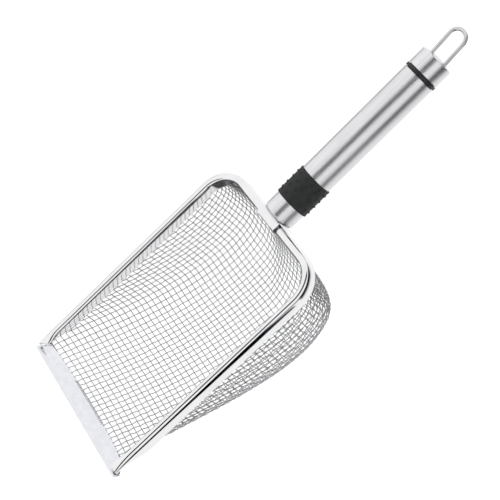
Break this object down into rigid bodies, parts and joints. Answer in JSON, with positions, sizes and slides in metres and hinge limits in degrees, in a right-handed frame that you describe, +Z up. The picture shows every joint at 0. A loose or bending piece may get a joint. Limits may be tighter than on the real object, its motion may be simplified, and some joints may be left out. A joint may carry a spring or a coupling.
{
  "type": "mesh sand scoop",
  "caption": "Hand scoop with a woven wire basket in a folded metal rim, flat front lip, hollow tube handle with rubber sleeve, end cap and hanging loop.",
  "frame": {"origin": "centre of the bounding box's underside, below the middle of the scoop's length", "axes": "+X from the front lip to the hanging loop, +Y to the left when facing along +X, +Z up out of the basket's mouth; the rim plane is level"},
  "size_m": [0.358, 0.125, 0.081],
  "materials": {
    "steel_sheet": "satin",
    "polished_steel": "polished",
    "wire_cloth": "drawn wire",
    "brushed_steel": "fine lengthwise brushing",
    "polished_wire": "polished",
    "zinc_steel": "plated",
    "black_rubber": "matt",
    "black_plastic": "matt"
  },
  "bodies": {
    "root": {"front_lip": "steel_sheet", "rim_channel": "polished_steel", "rim_core_wire": "zinc_steel", "mesh_basket": "wire_cloth", "neck_saddle": "polished_steel", "neck_stud": "zinc_steel", "stud_washer": "zinc_steel", "stud_nut": "zinc_steel", "handle_tube": "brushed_steel", "rubber_sleeve": "black_rubber", "end_plug": "black_plastic", "end_cap": "brushed_steel", "hanging_loop": "polished_wire"}
  },
  "joints": []
}
